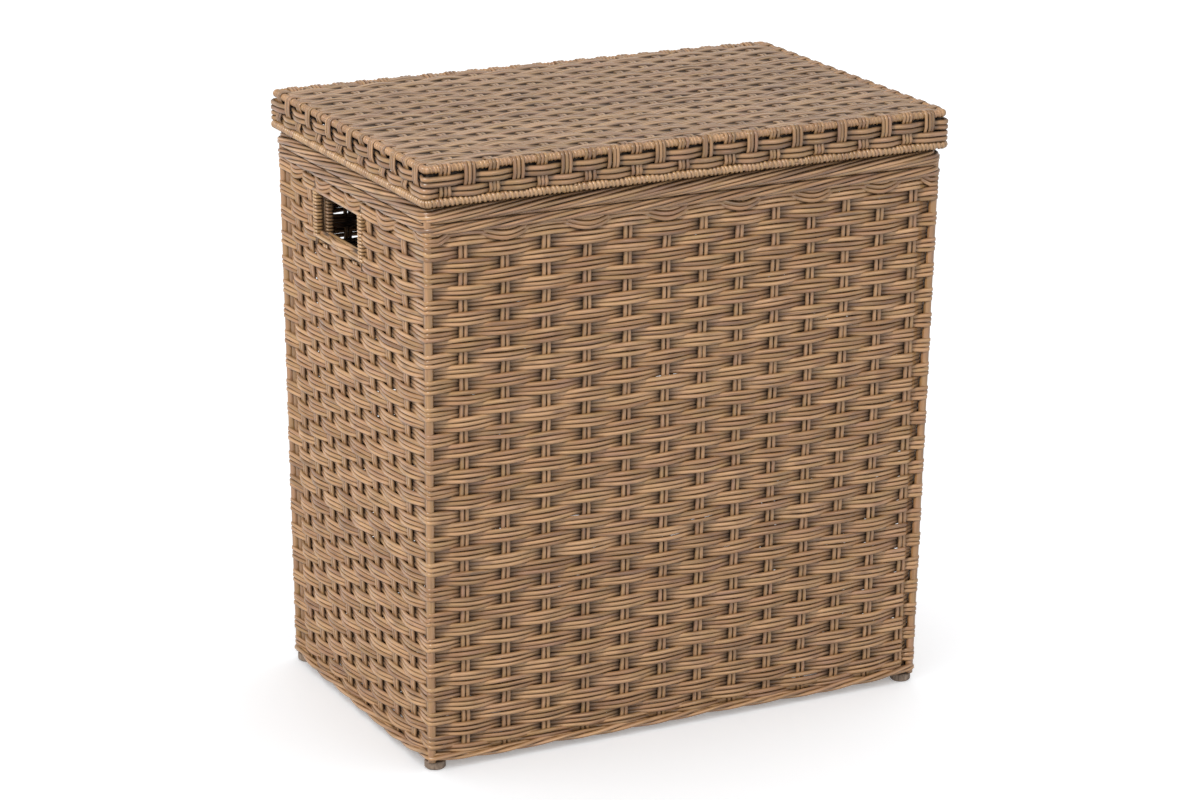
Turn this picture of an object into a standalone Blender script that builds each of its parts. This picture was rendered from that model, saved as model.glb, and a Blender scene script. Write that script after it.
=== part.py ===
"""A lidded laundry basket of woven rattan on a pole frame.

Frame: metres, +Z up, origin on the floor under the middle of the basket, front towards -Y,
the long side along X. An inset is a distance inwards from the outer face of the wall weave.
"""

import math

import bmesh
import bpy
from mathutils import Vector

# ---- driving dimensions ----------------------------------------------------------------------
OVERALL_HEIGHT = 0.600
BOTTOM_WIDTH, BOTTOM_DEPTH, BOTTOM_LEVEL = 0.545, 0.339, 0.012
TOP_WIDTH, TOP_DEPTH = 0.554, 0.358
LID_WIDTH, LID_DEPTH, LID_HEIGHT = 0.5652, 0.3732, 0.040
CORNER_RADIUS = 0.010
LID_CORNER_RADIUS = 0.018
GAP = 0.0004  # between two pieces that touch

FOOT_RADIUS, FOOT_HEIGHT = 0.0104, 0.008
SCREW_HEAD_RADIUS, SCREW_SHANK_RADIUS, SCREW_TOP = 0.0038, 0.0016, 0.036
SCREW_HOLE_RADIUS, SCREW_RECESS_RADIUS, SCREW_RECESS_DEPTH = 0.0020, 0.0045, 0.0034

POLE_INSET = 0.011  # of the centre lines of the frame's poles
POST_RADIUS, RAIL_RADIUS, CROSSBAR_RADIUS = 0.0054, 0.0055, 0.005
WALL_THICKNESS = 0.012
SKIN = POLE_INSET - POST_RADIUS - GAP  # weave that runs outside a corner post
BASE_BORDER_HEIGHT = 0.012
BASE_THICKNESS = 0.008
BASE_CROSSBAR_X = (-0.135, 0.0, 0.135)

RIM_HEIGHT, RIM_PROUD, RIM_COVER = 0.0315, 0.003, 0.006
RIM_LIP = 0.0125

HANDLE_LENGTH, HANDLE_HEIGHT, HANDLE_BINDING = 0.102, 0.041, 0.0045
HANDLE_Y, HANDLE_Z = 0.0315, 0.4950
HANDLE_PROUD, HANDLE_DEPTH = 0.0005, 0.019

LID_HOOP_RADIUS = 0.0045
LID_WEAVE_THICKNESS = 0.008
LID_CROSSBAR_RADIUS, LID_CROSSBAR_X = 0.004, (-0.094, 0.094)
SKIRT_OUTER, SKIRT_INNER = 0.001, 0.008

HINGE_X = (-0.150, 0.150)
LOOP_WIDTH, LOOP_THICKNESS, LOOP_CLEARANCE = 0.020, 0.003, 0.00035
SLOT_SIDE, SLOT_REACH = 0.0015, 0.0095

# ---- heights and places that follow from them ------------------------------------------------
BASE_BORDER_TOP = FOOT_HEIGHT + GAP + BASE_BORDER_HEIGHT
BASE_RAIL_Z = BASE_BORDER_TOP - RAIL_RADIUS
LID_BOTTOM = OVERALL_HEIGHT - LID_HEIGHT
RIM_TOP = LID_BOTTOM - GAP
RIM_BOTTOM = RIM_TOP - RIM_HEIGHT
TOP_RAIL_Z = RIM_TOP - RIM_COVER - GAP - RAIL_RADIUS
WALL_BOTTOM, WALL_TOP = BASE_BORDER_TOP + GAP, RIM_BOTTOM - GAP
POST_BOTTOM, POST_TOP = FOOT_HEIGHT + GAP, RIM_TOP - RIM_COVER - GAP
LOW_HOOP_Z = LID_BOTTOM + LID_HOOP_RADIUS
HIGH_HOOP_Z = OVERALL_HEIGHT - LID_HOOP_RADIUS
PIVOT_Y = LID_DEPTH / 2 - LID_HOOP_RADIUS
BACK_RAIL_Y = TOP_DEPTH / 2 - POLE_INSET

SIDES = {"front": (-1, -1), "right": (1, -1), "back": (1, 1), "left": (-1, 1)}
SIDE_NAMES = list(SIDES)

# ---- scene and materials ---------------------------------------------------------------------
for old in list(bpy.data.objects):
    bpy.data.objects.remove(old)

PARTS = bpy.data.collections.new("laundry_basket")
CUTTERS = bpy.data.collections.new("cutters")
bpy.context.scene.collection.children.link(PARTS)
bpy.context.scene.collection.children.link(CUTTERS)


def finish(name, colour, roughness, metallic=0.0):
    material = bpy.data.materials.new(name)
    material.use_nodes = True
    shader = material.node_tree.nodes["Principled BSDF"]
    shader.inputs["Base Color"].default_value = (*colour, 1.0)
    shader.inputs["Roughness"].default_value = roughness
    shader.inputs["Metallic"].default_value = metallic
    material.diffuse_color = (*colour, 1.0)
    return material


WEAVE = finish("rattan_weave", (0.46, 0.30, 0.18), 0.55)
BORDER = finish("rattan_border", (0.40, 0.25, 0.15), 0.55)
BINDING = finish("rattan_binding", (0.55, 0.38, 0.24), 0.5)
POLE = finish("rattan_pole", (0.42, 0.27, 0.15), 0.5)
FOOT_WOOD = finish("turned_wood", (0.22, 0.14, 0.09), 0.6)
STEEL = finish("zinc_plated_steel", (0.62, 0.62, 0.60), 0.35, 1.0)


def add(name, mesh, material, collection=PARTS, location=(0, 0, 0)):
    """A new object for a mesh, shaded smooth up to 40 degrees."""
    mesh.materials.append(material)
    mesh.shade_smooth()
    mesh.set_sharp_from_angle(angle=math.radians(40))
    piece = bpy.data.objects.new(name, mesh)
    piece.location = location
    collection.objects.link(piece)
    return piece


def mesh_from(name, bm):
    bmesh.ops.recalc_face_normals(bm, faces=bm.faces)
    mesh = bpy.data.meshes.new(name)
    bm.to_mesh(mesh)
    bm.free()
    return mesh


# ---- shape helpers ---------------------------------------------------------------------------
def body_half_size(z):
    """Half the width and half the depth of the wall weave at a height."""
    rise = (z - BOTTOM_LEVEL) / (LID_BOTTOM - BOTTOM_LEVEL)
    width = BOTTOM_WIDTH + (TOP_WIDTH - BOTTOM_WIDTH) * rise
    depth = BOTTOM_DEPTH + (TOP_DEPTH - BOTTOM_DEPTH) * rise
    return width / 2, depth / 2


def lid_half_size(_height):
    """Half the width and half the depth of the lid, whose sides are upright."""
    return LID_WIDTH / 2, LID_DEPTH / 2


def corner_arc(corner, inset, z, half_size, radius, start, stop, steps):
    """Points of a rounded corner, with angles measured at the corner (0 along X, 90 along Y)."""
    half_x, half_y = half_size(z)
    bend = max(radius - inset, 0.0)
    centre_x = half_x - inset - bend
    centre_y = half_y - inset - bend
    points = []
    for step in range(steps + 1):
        angle = math.radians(start + (stop - start) * step / steps)
        x = corner[0] * (centre_x + bend * math.cos(angle))
        y = corner[1] * (centre_y + bend * math.sin(angle))
        points.append(Vector((x, y, z)))
    return points


def side_path(side, inset, z, half_size, radius):
    """The line that a point of a side's section follows, from one corner's mitre to the other's."""
    index = SIDE_NAMES.index(side)
    first = SIDES[side]
    second = SIDES[SIDE_NAMES[(index + 1) % 4]]
    along_x = side in ("front", "back")
    flat = 90 if along_x else 0
    points = corner_arc(first, inset, z, half_size, radius, 45, flat, 3)
    points += corner_arc(second, inset, z, half_size, radius, flat, 45, 3)
    axis = 0 if along_x else 1
    for point in points:  # half of the gap at each mitre
        point[axis] -= math.copysign(GAP / 2, point[axis])
    return points


def side_bar(name, side, section, half_size, radius, material, collection=PARTS):
    """A bar of constant section, a list of (inset, height), along one side between its mitres."""
    lines = [side_path(side, inset, z, half_size, radius) for inset, z in section]
    bm = bmesh.new()
    end = bm.faces.new([bm.verts.new(line[0]) for line in lines])
    for station in range(1, len(lines[0])):
        grown = bmesh.ops.extrude_face_region(bm, geom=[end])["geom"]
        new_end = next(item for item in grown if isinstance(item, bmesh.types.BMFace))
        if station > 1:
            bm.faces.remove(end)
        for vert, line in zip(new_end.verts, lines):
            vert.co = line[station]
        end = new_end
    bmesh.ops.remove_doubles(bm, verts=bm.verts, dist=1e-6)
    bmesh.ops.dissolve_degenerate(bm, dist=1e-6, edges=bm.edges)
    return add(name, mesh_from(name, bm), material, collection)


def rectangle(inset_a, inset_b, low, high):
    return [(inset_a, low), (inset_b, low), (inset_b, high), (inset_a, high)]


def box(name, low, high, material=None, collection=PARTS):
    bm = bmesh.new()
    bmesh.ops.create_cube(bm, size=1.0)
    low, high = Vector(low), Vector(high)
    bmesh.ops.scale(bm, vec=high - low, verts=bm.verts)
    bmesh.ops.translate(bm, vec=(low + high) / 2, verts=bm.verts)
    piece = add(name, mesh_from(name, bm), material or WEAVE, collection)
    return as_cutter(piece) if collection is CUTTERS else piece


def rod(name, start, stop, radius, material, sides=16, collection=PARTS):
    """A straight round pole between two points."""
    start, stop = Vector(start), Vector(stop)
    bm = bmesh.new()
    bmesh.ops.create_cone(
        bm, cap_ends=True, segments=sides, radius1=radius, radius2=radius, depth=(stop - start).length
    )
    turn = (stop - start).to_track_quat("Z", "Y").to_matrix()
    bmesh.ops.rotate(bm, cent=(0, 0, 0), matrix=turn, verts=bm.verts)
    bmesh.ops.translate(bm, vec=(start + stop) / 2, verts=bm.verts)
    piece = add(name, mesh_from(name, bm), material, collection)
    return as_cutter(piece) if collection is CUTTERS else piece


def as_cutter(piece):
    piece.hide_render = True
    piece.display_type = "WIRE"
    return piece


def cut(piece, cutter):
    boolean = piece.modifiers.new("cut_" + cutter.name, "BOOLEAN")
    boolean.operation = "DIFFERENCE"
    boolean.object = cutter
    return boolean


def turned(name, profile, material, location, closed=False, steps=20):
    """A profile of (radius, height) points turned about the vertical axis."""
    mesh = bpy.data.meshes.new(name)
    count = len(profile)
    edges = [(i, i + 1) for i in range(count - 1)]
    if closed:
        edges.append((count - 1, 0))
    mesh.from_pydata([(radius, 0, height) for radius, height in profile], edges, [])
    piece = add(name, mesh, material, location=location)
    screw = piece.modifiers.new("turn", "SCREW")
    screw.steps = steps
    screw.render_steps = steps
    screw.use_merge_vertices = True
    screw.merge_threshold = 0.00001
    screw.use_smooth_shade = True
    return piece


# ---- feet, screws and the pole frame ---------------------------------------------------------
def pole_corner(sign_x, sign_y, z):
    half_x, half_y = body_half_size(z)
    return Vector((sign_x * (half_x - POLE_INSET), sign_y * (half_y - POLE_INSET), z))


def corner_name(sign_x, sign_y):
    return ("front" if sign_y < 0 else "back") + ("_left" if sign_x < 0 else "_right")


def make_foot(sign_x, sign_y):
    place = pole_corner(sign_x, sign_y, FOOT_HEIGHT)
    place.z = 0.0
    chamfer = 0.0015
    outline = [
        (SCREW_HOLE_RADIUS, FOOT_HEIGHT),
        (FOOT_RADIUS - chamfer / 2, FOOT_HEIGHT),
        (FOOT_RADIUS, FOOT_HEIGHT - chamfer / 2),
        (FOOT_RADIUS, chamfer),
        (FOOT_RADIUS - chamfer, 0.0),
        (SCREW_RECESS_RADIUS, 0.0),
        (SCREW_RECESS_RADIUS, SCREW_RECESS_DEPTH),
        (SCREW_HOLE_RADIUS, SCREW_RECESS_DEPTH),
    ]
    turned("foot_" + corner_name(sign_x, sign_y), outline, FOOT_WOOD, place, closed=True)


def make_foot_screw(sign_x, sign_y):
    place = pole_corner(sign_x, sign_y, FOOT_HEIGHT)
    place.z = 0.0
    head_top = SCREW_RECESS_DEPTH - GAP
    head_bottom = head_top - 0.0024
    outline = [
        (0.0, SCREW_TOP),
        (SCREW_SHANK_RADIUS * 0.3, SCREW_TOP),
        (SCREW_SHANK_RADIUS, SCREW_TOP - 0.005),
        (SCREW_SHANK_RADIUS, head_top),
        (SCREW_HEAD_RADIUS, head_top),
        (SCREW_HEAD_RADIUS, head_bottom + 0.0008),
        (SCREW_HEAD_RADIUS * 0.7, head_bottom),
        (0.0, head_bottom),
    ]
    turned("foot_screw_" + corner_name(sign_x, sign_y), outline, STEEL, place, steps=12)


def make_post(sign_x, sign_y):
    """A corner pole, bored from below for the foot's screw."""
    low, high = pole_corner(sign_x, sign_y, POST_BOTTOM), pole_corner(sign_x, sign_y, POST_TOP)
    name = corner_name(sign_x, sign_y)
    post = rod("corner_post_" + name, low, high, POST_RADIUS, POLE)
    hole_low = Vector((low.x, low.y, POST_BOTTOM - 0.01))
    hole_high = Vector((low.x, low.y, SCREW_TOP + 0.002))
    bore = rod("bore_" + name, hole_low, hole_high, SCREW_HOLE_RADIUS, POLE, 12, CUTTERS)
    cut(post, bore)
    # the room that the weave and borders leave round the post
    rise = (high - low).normalized() * 0.03
    return rod("room_" + name, low - rise, high + rise, POST_RADIUS + GAP, POLE, 16, CUTTERS)


def make_rails(kind, z, radius):
    """Four poles between the corner posts."""
    half_x, half_y = body_half_size(z)
    reach_x = half_x - POLE_INSET - RAIL_RADIUS - GAP
    reach_y = half_y - POLE_INSET - RAIL_RADIUS - GAP
    line_x, line_y = half_x - POLE_INSET, half_y - POLE_INSET
    rod(kind + "_front", (-reach_x, -line_y, z), (reach_x, -line_y, z), radius, POLE)
    rod(kind + "_back", (-reach_x, line_y, z), (reach_x, line_y, z), radius, POLE)
    rod(kind + "_left", (-line_x, -reach_y, z), (-line_x, reach_y, z), radius, POLE)
    rod(kind + "_right", (line_x, -reach_y, z), (line_x, reach_y, z), radius, POLE)


def make_base_crossbars():
    reach = body_half_size(BASE_RAIL_Z)[1] - POLE_INSET - RAIL_RADIUS - GAP
    top = BASE_RAIL_Z + RAIL_RADIUS
    z = top - CROSSBAR_RADIUS
    for x, name in zip(BASE_CROSSBAR_X, ("left", "middle", "right")):
        rod("base_crossbar_" + name, (x, -reach, z), (x, reach, z), CROSSBAR_RADIUS, POLE, 12)


# ---- body weave ------------------------------------------------------------------------------
def make_base_panel(rooms):
    """The woven bottom, which rests on the base rails and the crossbars."""
    half_x, half_y = body_half_size(WALL_BOTTOM)
    edge = WALL_THICKNESS + 2 * GAP
    low = (-half_x + edge, -half_y + edge, WALL_BOTTOM)
    high = (half_x - edge, half_y - edge, WALL_BOTTOM + BASE_THICKNESS)
    panel = box("base_panel", low, high)
    for room in rooms:
        cut(panel, room)


def cut_at_corners(piece, side, rooms):
    index = SIDE_NAMES.index(side)
    corners = (SIDES[side], SIDES[SIDE_NAMES[(index + 1) % 4]])
    for corner in corners:
        cut(piece, rooms[corner])


def make_walls(rooms):
    section = rectangle(0.0, WALL_THICKNESS, WALL_BOTTOM, WALL_TOP)
    walls = {}
    for side in SIDES:
        wall = side_bar("wall_weave_" + side, side, section, body_half_size, CORNER_RADIUS, WEAVE)
        cut_at_corners(wall, side, rooms)
        walls[side] = wall
    return walls


def make_base_border():
    section = rectangle(0.0, SKIN, FOOT_HEIGHT + GAP, BASE_BORDER_TOP)
    for side in SIDES:
        side_bar("base_border_" + side, side, section, body_half_size, CORNER_RADIUS, BORDER)


def make_rim_border(rooms):
    """The plaited rim, which wraps the top rail from outside."""
    cover = POLE_INSET + RAIL_RADIUS + 0.001
    section = [
        (-RIM_PROUD, RIM_BOTTOM),
        (WALL_THICKNESS, RIM_BOTTOM),
        (WALL_THICKNESS, RIM_BOTTOM + RIM_LIP),
        (SKIN, RIM_BOTTOM + RIM_LIP),
        (SKIN, RIM_TOP - RIM_COVER),
        (cover, RIM_TOP - RIM_COVER),
        (cover, RIM_TOP),
        (-RIM_PROUD, RIM_TOP),
    ]
    for side in SIDES:
        rim = side_bar("rim_border_" + side, side, section, body_half_size, CORNER_RADIUS, BORDER)
        cut_at_corners(rim, side, rooms)
        if side == "back":
            for x, name in zip(HINGE_X, ("left", "right")):
                cut(rim, hinge_prism("rim_slot_" + name, x, LOOP_THICKNESS + GAP, SLOT_SIDE))


def make_handle(side, wall):
    """The bound edge of a hand hole through an end wall, and the hole for it in the weave."""
    sign = -1 if side == "left" else 1
    face = body_half_size(HANDLE_Z)[0]
    half_x = HANDLE_DEPTH / 2
    middle = sign * (face + HANDLE_PROUD - half_x)
    half_y, half_z = HANDLE_LENGTH / 2, HANDLE_HEIGHT / 2
    rim_y, rim_z = half_y + HANDLE_BINDING, half_z + HANDLE_BINDING
    low = (middle - half_x, HANDLE_Y - rim_y, HANDLE_Z - rim_z)
    high = (middle + half_x, HANDLE_Y + rim_y, HANDLE_Z + rim_z)
    binding = box("handle_binding_" + side, low, high, BINDING)
    reach = 0.02
    hole_low = (middle - half_x - reach, HANDLE_Y - half_y, HANDLE_Z - half_z)
    hole_high = (middle + half_x + reach, HANDLE_Y + half_y, HANDLE_Z + half_z)
    cut(binding, box("hand_hole_" + side, hole_low, hole_high, collection=CUTTERS))
    room_low = (middle - half_x - reach, HANDLE_Y - rim_y - GAP, HANDLE_Z - rim_z - GAP)
    room_high = (middle + half_x + reach, HANDLE_Y + rim_y + GAP, HANDLE_Z + rim_z + GAP)
    cut(wall, box("handle_room_" + side, room_low, room_high, collection=CUTTERS))


# ---- hinge loops -----------------------------------------------------------------------------
def egg_outline(grow, steps=8):
    """A belt round the back top rail and the lid's low hoop, in (y, z), grown outwards."""
    rail = Vector((BACK_RAIL_Y, TOP_RAIL_Z))
    hoop = Vector((PIVOT_Y, LOW_HOOP_Z))
    rail_radius = RAIL_RADIUS + LOOP_CLEARANCE + grow
    hoop_radius = LID_HOOP_RADIUS + LOOP_CLEARANCE + grow
    between = hoop - rail
    heading = math.atan2(between.y, between.x)
    lean = math.asin((rail_radius - hoop_radius) / between.length)
    points = []
    for centre, radius, start, sweep in (
        (hoop, hoop_radius, heading - math.pi / 2 + lean, math.pi - 2 * lean),
        (rail, rail_radius, heading + math.pi / 2 - lean, math.pi + 2 * lean),
    ):
        for step in range(steps + 1):
            angle = start + sweep * step / steps
            points.append((centre.x + radius * math.cos(angle), centre.y + radius * math.sin(angle)))
    return points


def egg_object(name, outlines, x, width, material, collection):
    """Flat outlines in the YZ plane, given a width along X, as a mesh."""
    curve = bpy.data.curves.new(name, "CURVE")
    curve.dimensions = "2D"
    curve.fill_mode = "BOTH"
    curve.extrude = width / 2
    for outline in outlines:
        spline = curve.splines.new("POLY")
        spline.points.add(len(outline) - 1)
        spline.use_cyclic_u = True
        for point, (y, z) in zip(spline.points, outline):
            point.co = (y, z, 0.0, 1.0)
    flat = bpy.data.objects.new(name + "_outline", curve)
    bpy.context.scene.collection.objects.link(flat)
    depsgraph = bpy.context.evaluated_depsgraph_get()
    mesh = bpy.data.meshes.new_from_object(flat.evaluated_get(depsgraph))
    bpy.data.objects.remove(flat)
    bm = bmesh.new()
    bm.from_mesh(mesh)
    bmesh.ops.remove_doubles(bm, verts=bm.verts, dist=1e-6)
    for vert in bm.verts:  # the outline's x, y and depth become Y, Z and X
        vert.co = Vector((x + vert.co.z, vert.co.x, vert.co.y))
    bpy.data.meshes.remove(mesh)
    return add(name, mesh_from(name, bm), material, collection)


def hinge_prism(name, x, grow, side_room):
    width = LOOP_WIDTH + 2 * side_room
    return as_cutter(egg_object(name, [egg_outline(grow)], x, width, WEAVE, CUTTERS))


def make_hinge_loops():
    for x, name in zip(HINGE_X, ("left", "right")):
        outlines = [egg_outline(LOOP_THICKNESS), egg_outline(0.0)]
        egg_object("hinge_loop_" + name, outlines, x, LOOP_WIDTH, BINDING, PARTS)


# ---- lid -------------------------------------------------------------------------------------
def make_lid_hoop(name, z):
    """A pole bent into a rounded rectangle, with its joint closed."""
    points = []
    for index, corner in enumerate(SIDES.values()):
        start, stop = (90, 0) if index % 2 else (0, 90)
        points += corner_arc(corner, LID_HOOP_RADIUS, 0.0, lid_half_size, LID_CORNER_RADIUS, start, stop, 5)
    points.reverse()
    curve = bpy.data.curves.new(name, "CURVE")
    curve.dimensions = "3D"
    curve.bevel_depth = LID_HOOP_RADIUS
    curve.bevel_resolution = 2
    spline = curve.splines.new("POLY")
    spline.points.add(len(points) - 1)
    spline.use_cyclic_u = True
    for target, point in zip(spline.points, points):
        target.co = (point.x, point.y, 0.0, 1.0)
    curve.materials.append(POLE)
    hoop = bpy.data.objects.new(name, curve)
    hoop.location = (0, 0, z)
    PARTS.objects.link(hoop)
    return hoop


def make_lid_skirts():
    low = LOW_HOOP_Z + LID_HOOP_RADIUS + GAP
    high = HIGH_HOOP_Z - LID_HOOP_RADIUS - GAP
    section = rectangle(SKIRT_OUTER, SKIRT_INNER, low, high)
    pieces = []
    for side in SIDES:
        name = "lid_skirt_" + side
        skirt = side_bar(name, side, section, lid_half_size, LID_CORNER_RADIUS, WEAVE)
        if side == "back":
            half = LOOP_WIDTH / 2 + SLOT_SIDE
            for x, label in zip(HINGE_X, ("left", "right")):
                slot_low = (x - half, PIVOT_Y - 0.02, low - 0.01)
                slot_high = (x + half, PIVOT_Y + 0.02, LOW_HOOP_Z + SLOT_REACH)
                cut(skirt, box("skirt_slot_" + label, slot_low, slot_high, collection=CUTTERS))
        pieces.append(skirt)
    return pieces


def make_lid_top():
    """The woven top inside the high hoop, and the crossbars under it."""
    inset = 2 * LID_HOOP_RADIUS + GAP
    high = OVERALL_HEIGHT - 0.002
    low = high - LID_WEAVE_THICKNESS
    half_x, half_y = LID_WIDTH / 2 - inset, LID_DEPTH / 2 - inset
    radius = LID_CORNER_RADIUS - inset
    bm = bmesh.new()
    bmesh.ops.create_cube(bm, size=1.0)
    bmesh.ops.scale(bm, vec=(2 * half_x, 2 * half_y, LID_WEAVE_THICKNESS), verts=bm.verts)
    bmesh.ops.translate(bm, vec=(0, 0, (low + high) / 2), verts=bm.verts)
    upright = [edge for edge in bm.edges if abs(edge.verts[0].co.z - edge.verts[1].co.z) > 0.001]
    bmesh.ops.bevel(bm, geom=upright, offset=radius, segments=4, affect="EDGES", profile=0.5)
    pieces = [add("lid_top_weave", mesh_from("lid_top_weave", bm), WEAVE)]
    reach = LID_DEPTH / 2 - SKIRT_INNER - GAP
    z = low - GAP - LID_CROSSBAR_RADIUS
    for x, name in zip(LID_CROSSBAR_X, ("left", "right")):
        bar_name = "lid_crossbar_" + name
        pieces.append(rod(bar_name, (x, -reach, z), (x, reach, z), LID_CROSSBAR_RADIUS, POLE, 12))
    return pieces


def hang_lid(pieces):
    """Parents the lid's pieces to an empty on the hinge axis."""
    pivot = bpy.data.objects.new("lid_pivot", None)
    pivot.location = (0, PIVOT_Y, LOW_HOOP_Z)
    PARTS.objects.link(pivot)
    for piece in pieces:
        piece.parent = pivot
        piece.matrix_parent_inverse.identity()
        piece.location = piece.location - pivot.location


def build():
    corners = list(SIDES.values())
    rooms = {corner: make_post(*corner) for corner in corners}
    for corner in corners:
        make_foot(*corner)
        make_foot_screw(*corner)
    make_rails("base_rail", BASE_RAIL_Z, RAIL_RADIUS)
    make_rails("top_rail", TOP_RAIL_Z, RAIL_RADIUS)
    make_base_crossbars()
    make_base_panel(rooms.values())
    walls = make_walls(rooms)
    make_handle("left", walls["left"])
    make_handle("right", walls["right"])
    make_base_border()
    make_rim_border(rooms)
    make_hinge_loops()
    lid = [make_lid_hoop("lid_low_hoop", LOW_HOOP_Z), make_lid_hoop("lid_high_hoop", HIGH_HOOP_Z)]
    lid += make_lid_skirts()
    lid += make_lid_top()
    hang_lid(lid)


build()
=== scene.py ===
"""The look of a lidded laundry basket woven from rattan strands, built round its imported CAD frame.

Metres, +Z up, front towards -Y. An inset is a distance inwards from the outer face of the wall or
of the lid's edge. A place on a side is (side number, distance along the side from its middle).
"""

import math

import bpy
import numpy as np
from mathutils import Matrix, Vector


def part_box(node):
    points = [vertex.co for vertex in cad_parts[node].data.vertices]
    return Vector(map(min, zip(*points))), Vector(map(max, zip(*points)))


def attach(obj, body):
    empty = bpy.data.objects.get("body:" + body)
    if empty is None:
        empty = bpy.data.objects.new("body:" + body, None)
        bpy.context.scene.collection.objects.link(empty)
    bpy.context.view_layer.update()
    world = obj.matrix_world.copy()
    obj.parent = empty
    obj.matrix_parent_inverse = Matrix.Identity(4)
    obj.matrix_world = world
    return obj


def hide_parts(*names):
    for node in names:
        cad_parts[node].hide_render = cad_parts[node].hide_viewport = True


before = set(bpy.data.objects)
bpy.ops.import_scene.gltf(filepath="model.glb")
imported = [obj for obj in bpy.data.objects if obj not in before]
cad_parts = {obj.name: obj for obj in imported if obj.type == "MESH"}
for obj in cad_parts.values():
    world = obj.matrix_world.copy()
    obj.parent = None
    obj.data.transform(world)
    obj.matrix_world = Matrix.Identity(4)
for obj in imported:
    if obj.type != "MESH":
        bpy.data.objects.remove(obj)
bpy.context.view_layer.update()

# ---- sizes: walls ----
ROWS, ROW_STRANDS = 42, 3
FIRST_ROW, ROW_PITCH = 0.0109, 0.012865
FIRST_LIFT, TOP_SQUEEZE = 0.0030, 0.0070  # how far the lowest row stands high, and the top row low
STRAND = 0.00230  # half the height of a weaving strand
STRAND_DEPTH = 0.00200  # half its thickness, in and out of the wall
PRESSED_DEPTH = 0.00110  # the same where it is pulled tight round a corner post
STRAND_APART, APART_OUTSIDE = 0.00438, 0.00036  # pitch of a row's strands, and what it gains outside
STRAND_WANDER, STRAND_PROUD = 0.00020, 0.0002
MIDDLE_TUCK = 0.0008  # how much deeper a row's middle strand passes behind a stake
OUTSIDE_RISE, TOP_RISES = 0.0005, {ROWS - 1: -0.0040, ROWS - 2: 0.0012}  # rise of a row outside stakes

OVER, MIDDLE, UNDER = 0.00185, 0.00480, 0.00800  # insets of a strand outside, beside and inside stakes
HIDDEN = 0.0058  # inset beyond which a strand of the wall is darkened with painted shade
CORNER_OVER, CORNER_UNDER = 0.00080, 0.00730  # insets of a strand that passes a post
OUTER_BEND, INNER_BEND = 0.0048, 0.0133
BEND = 0.0075  # distance from a corner at which the outer face starts to turn
TIGHTEST_TURN = 0.0004
PRESS_REACH = 0.014  # how far from a post its strands stay pressed
KNOT_STEPS, CORNER_STEPS = 8, 3  # samples from one crossing to the next, and for half a corner
SHORTEST_RUN = 3  # samples that a strand cut at a hand hole must exceed

ROD_WIDTH, ROD_DEPTH = 0.00232, 0.00180  # half sizes of one of a stake's two rods
ROD_APART = 0.00240  # from a stake's middle to each rod's middle
ROD_STEP = 0.0065
STAKE_INSET, STAKE_WAVE = 0.00490, 0.00055  # the stakes, which the rows push in and out
STAKE_LEAN, UPRIGHT_AT = 0.010, 0.278  # sideways lean per metre, and the height it is measured from
STAKE_BOTTOM, STAKE_TOP = 0.0110, 0.5480

POST_INSET, POST_RADIUS = 0.0048, 0.0040
POST_BOTTOM, POST_TOP, POST_STEP = 0.0086, 0.5530, 0.004
INNER_POST_INSET, INNER_POST_RADIUS = 0.0135, 0.0044
SIDE_ROD_INSET, SIDE_ROD_RADIUS = (0.0070, 0.0135), 0.0034  # a rod beside each post, in the end walls

RIM_BEND, ROLL_STEP = 0.0105, 0.0062
UPPER_ROLL = dict(middle=(0.0070, 0.5498), size=(0.0100, 0.0085), members=10, turns=6, radius=0.00225)
LOWER_ROLL = dict(middle=(0.0022, 0.5377), size=(0.0054, 0.0056), members=5, turns=11, radius=0.00220)

ROPE_RADIUS, ROPE_STRAND, ROPE_TURN = 0.0024, 0.00215, 0.126
ROPE_HEIGHT, ROPE_INSET = 0.0098, 0.0022
ROPE_LEVEL, ROPE_SAMPLES = 0.012, 360  # height at which the wall is measured for the rope

# ---- sizes: hand holes and hinge loops ----
BINDING = 0.0045
HOLE_MARGIN = 0.002  # how far the weave stops short of a hole
WRAP_MIDDLE, WRAP_WIDTH, WRAP_STRAND, WRAP_PITCH = 0.0036, 0.0028, 0.0016, 0.0035
WRAP_OVERLAP = 0.003
WRAPS = ((0.0010, 0.0072, 0.8, 0.0), (0.0130, 0.0186, 0.4, 0.35))  # insets, tone and painted shade of each; the inner wrap's lower tone and its share stand for shade inside the hole
CORE_INSETS, CORE_RADIUS, CORE_STEP = (0.0041, 0.0085, 0.0118, 0.0158), 0.0024, 0.008
CORE_SHIFT, CORE_OVERLAP = 0.0010, 0.009
BAR_INSETS, BAR_RADIUS, BAR_GAP, BAR_OVERLAP = (0.0026, 0.0068, 0.0110, 0.0152), 0.0021, 0.0022, 0.008
HINGE_STRAND, HINGE_TURNS, HALF_LOOP_POINTS = 0.0021, 5, 9

# ---- sizes: lid and flat panels ----
LID_BEND, RING_STEP = 0.009, 0.004
HOOP_RADIUS, HOOP_INSET, HOOP_HEIGHT = 0.0040, 0.0066, 0.5954
HOOP_COIL, HOOP_COIL_PITCH = 0.0017, 0.0042
LOW_HOOP_CORE, LOW_HOOP_COIL, LOW_COIL_PITCH = 0.0034, 0.0021, 0.0047
LOW_COIL_REACH = 0.0024
COIL_TONES = 24  # lengths of each coil that have a tone of their own

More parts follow.
